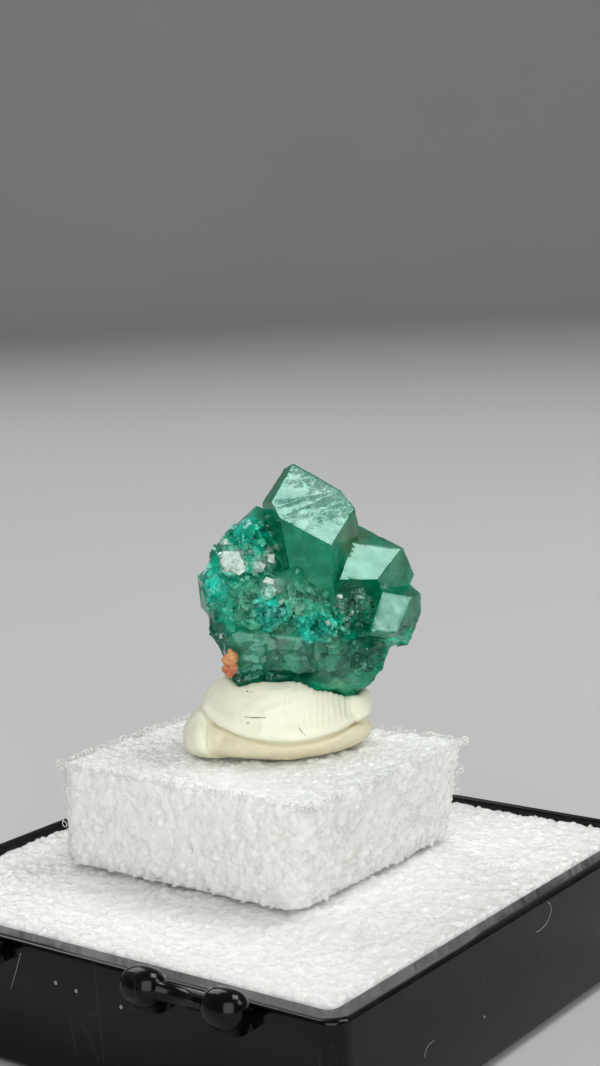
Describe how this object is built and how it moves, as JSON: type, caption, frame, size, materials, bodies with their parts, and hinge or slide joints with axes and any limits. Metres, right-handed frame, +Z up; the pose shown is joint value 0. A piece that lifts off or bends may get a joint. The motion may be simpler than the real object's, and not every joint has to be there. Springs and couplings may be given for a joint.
{
  "type": "dioptase crystal specimen in a small hinged display box",
  "caption": "Green dioptase crystals grown as one group, set in cream putty on a white foam block that stands in the foam-lined black tray of a little hinged box.",
  "frame": {"origin": "middle of the tray's flat underside", "axes": "+Z up, +X and +Y along the square tray's sides, -Y towards the wall with the hinge lugs"},
  "size_m": [0.032, 0.0344, 0.029],
  "materials": {
    "green_crystal": "clear deep green crystal with glassy faces and broken, sugary patches",
    "orange_mineral": "dull, a little waxy",
    "cream_putty": "satin, pressed by hand, with folds and faint prints",
    "white_foam": "matte cut foam with fine open cells",
    "black_plastic": "glossy moulded plastic with dust and fine scratches"
  },
  "bodies": {
    "root": {"dioptase": "green_crystal", "orange_grain": "orange_mineral", "putty": "cream_putty", "foam_block": "white_foam", "foam_pad": "white_foam", "tray": "black_plastic"}
  },
  "joints": []
}
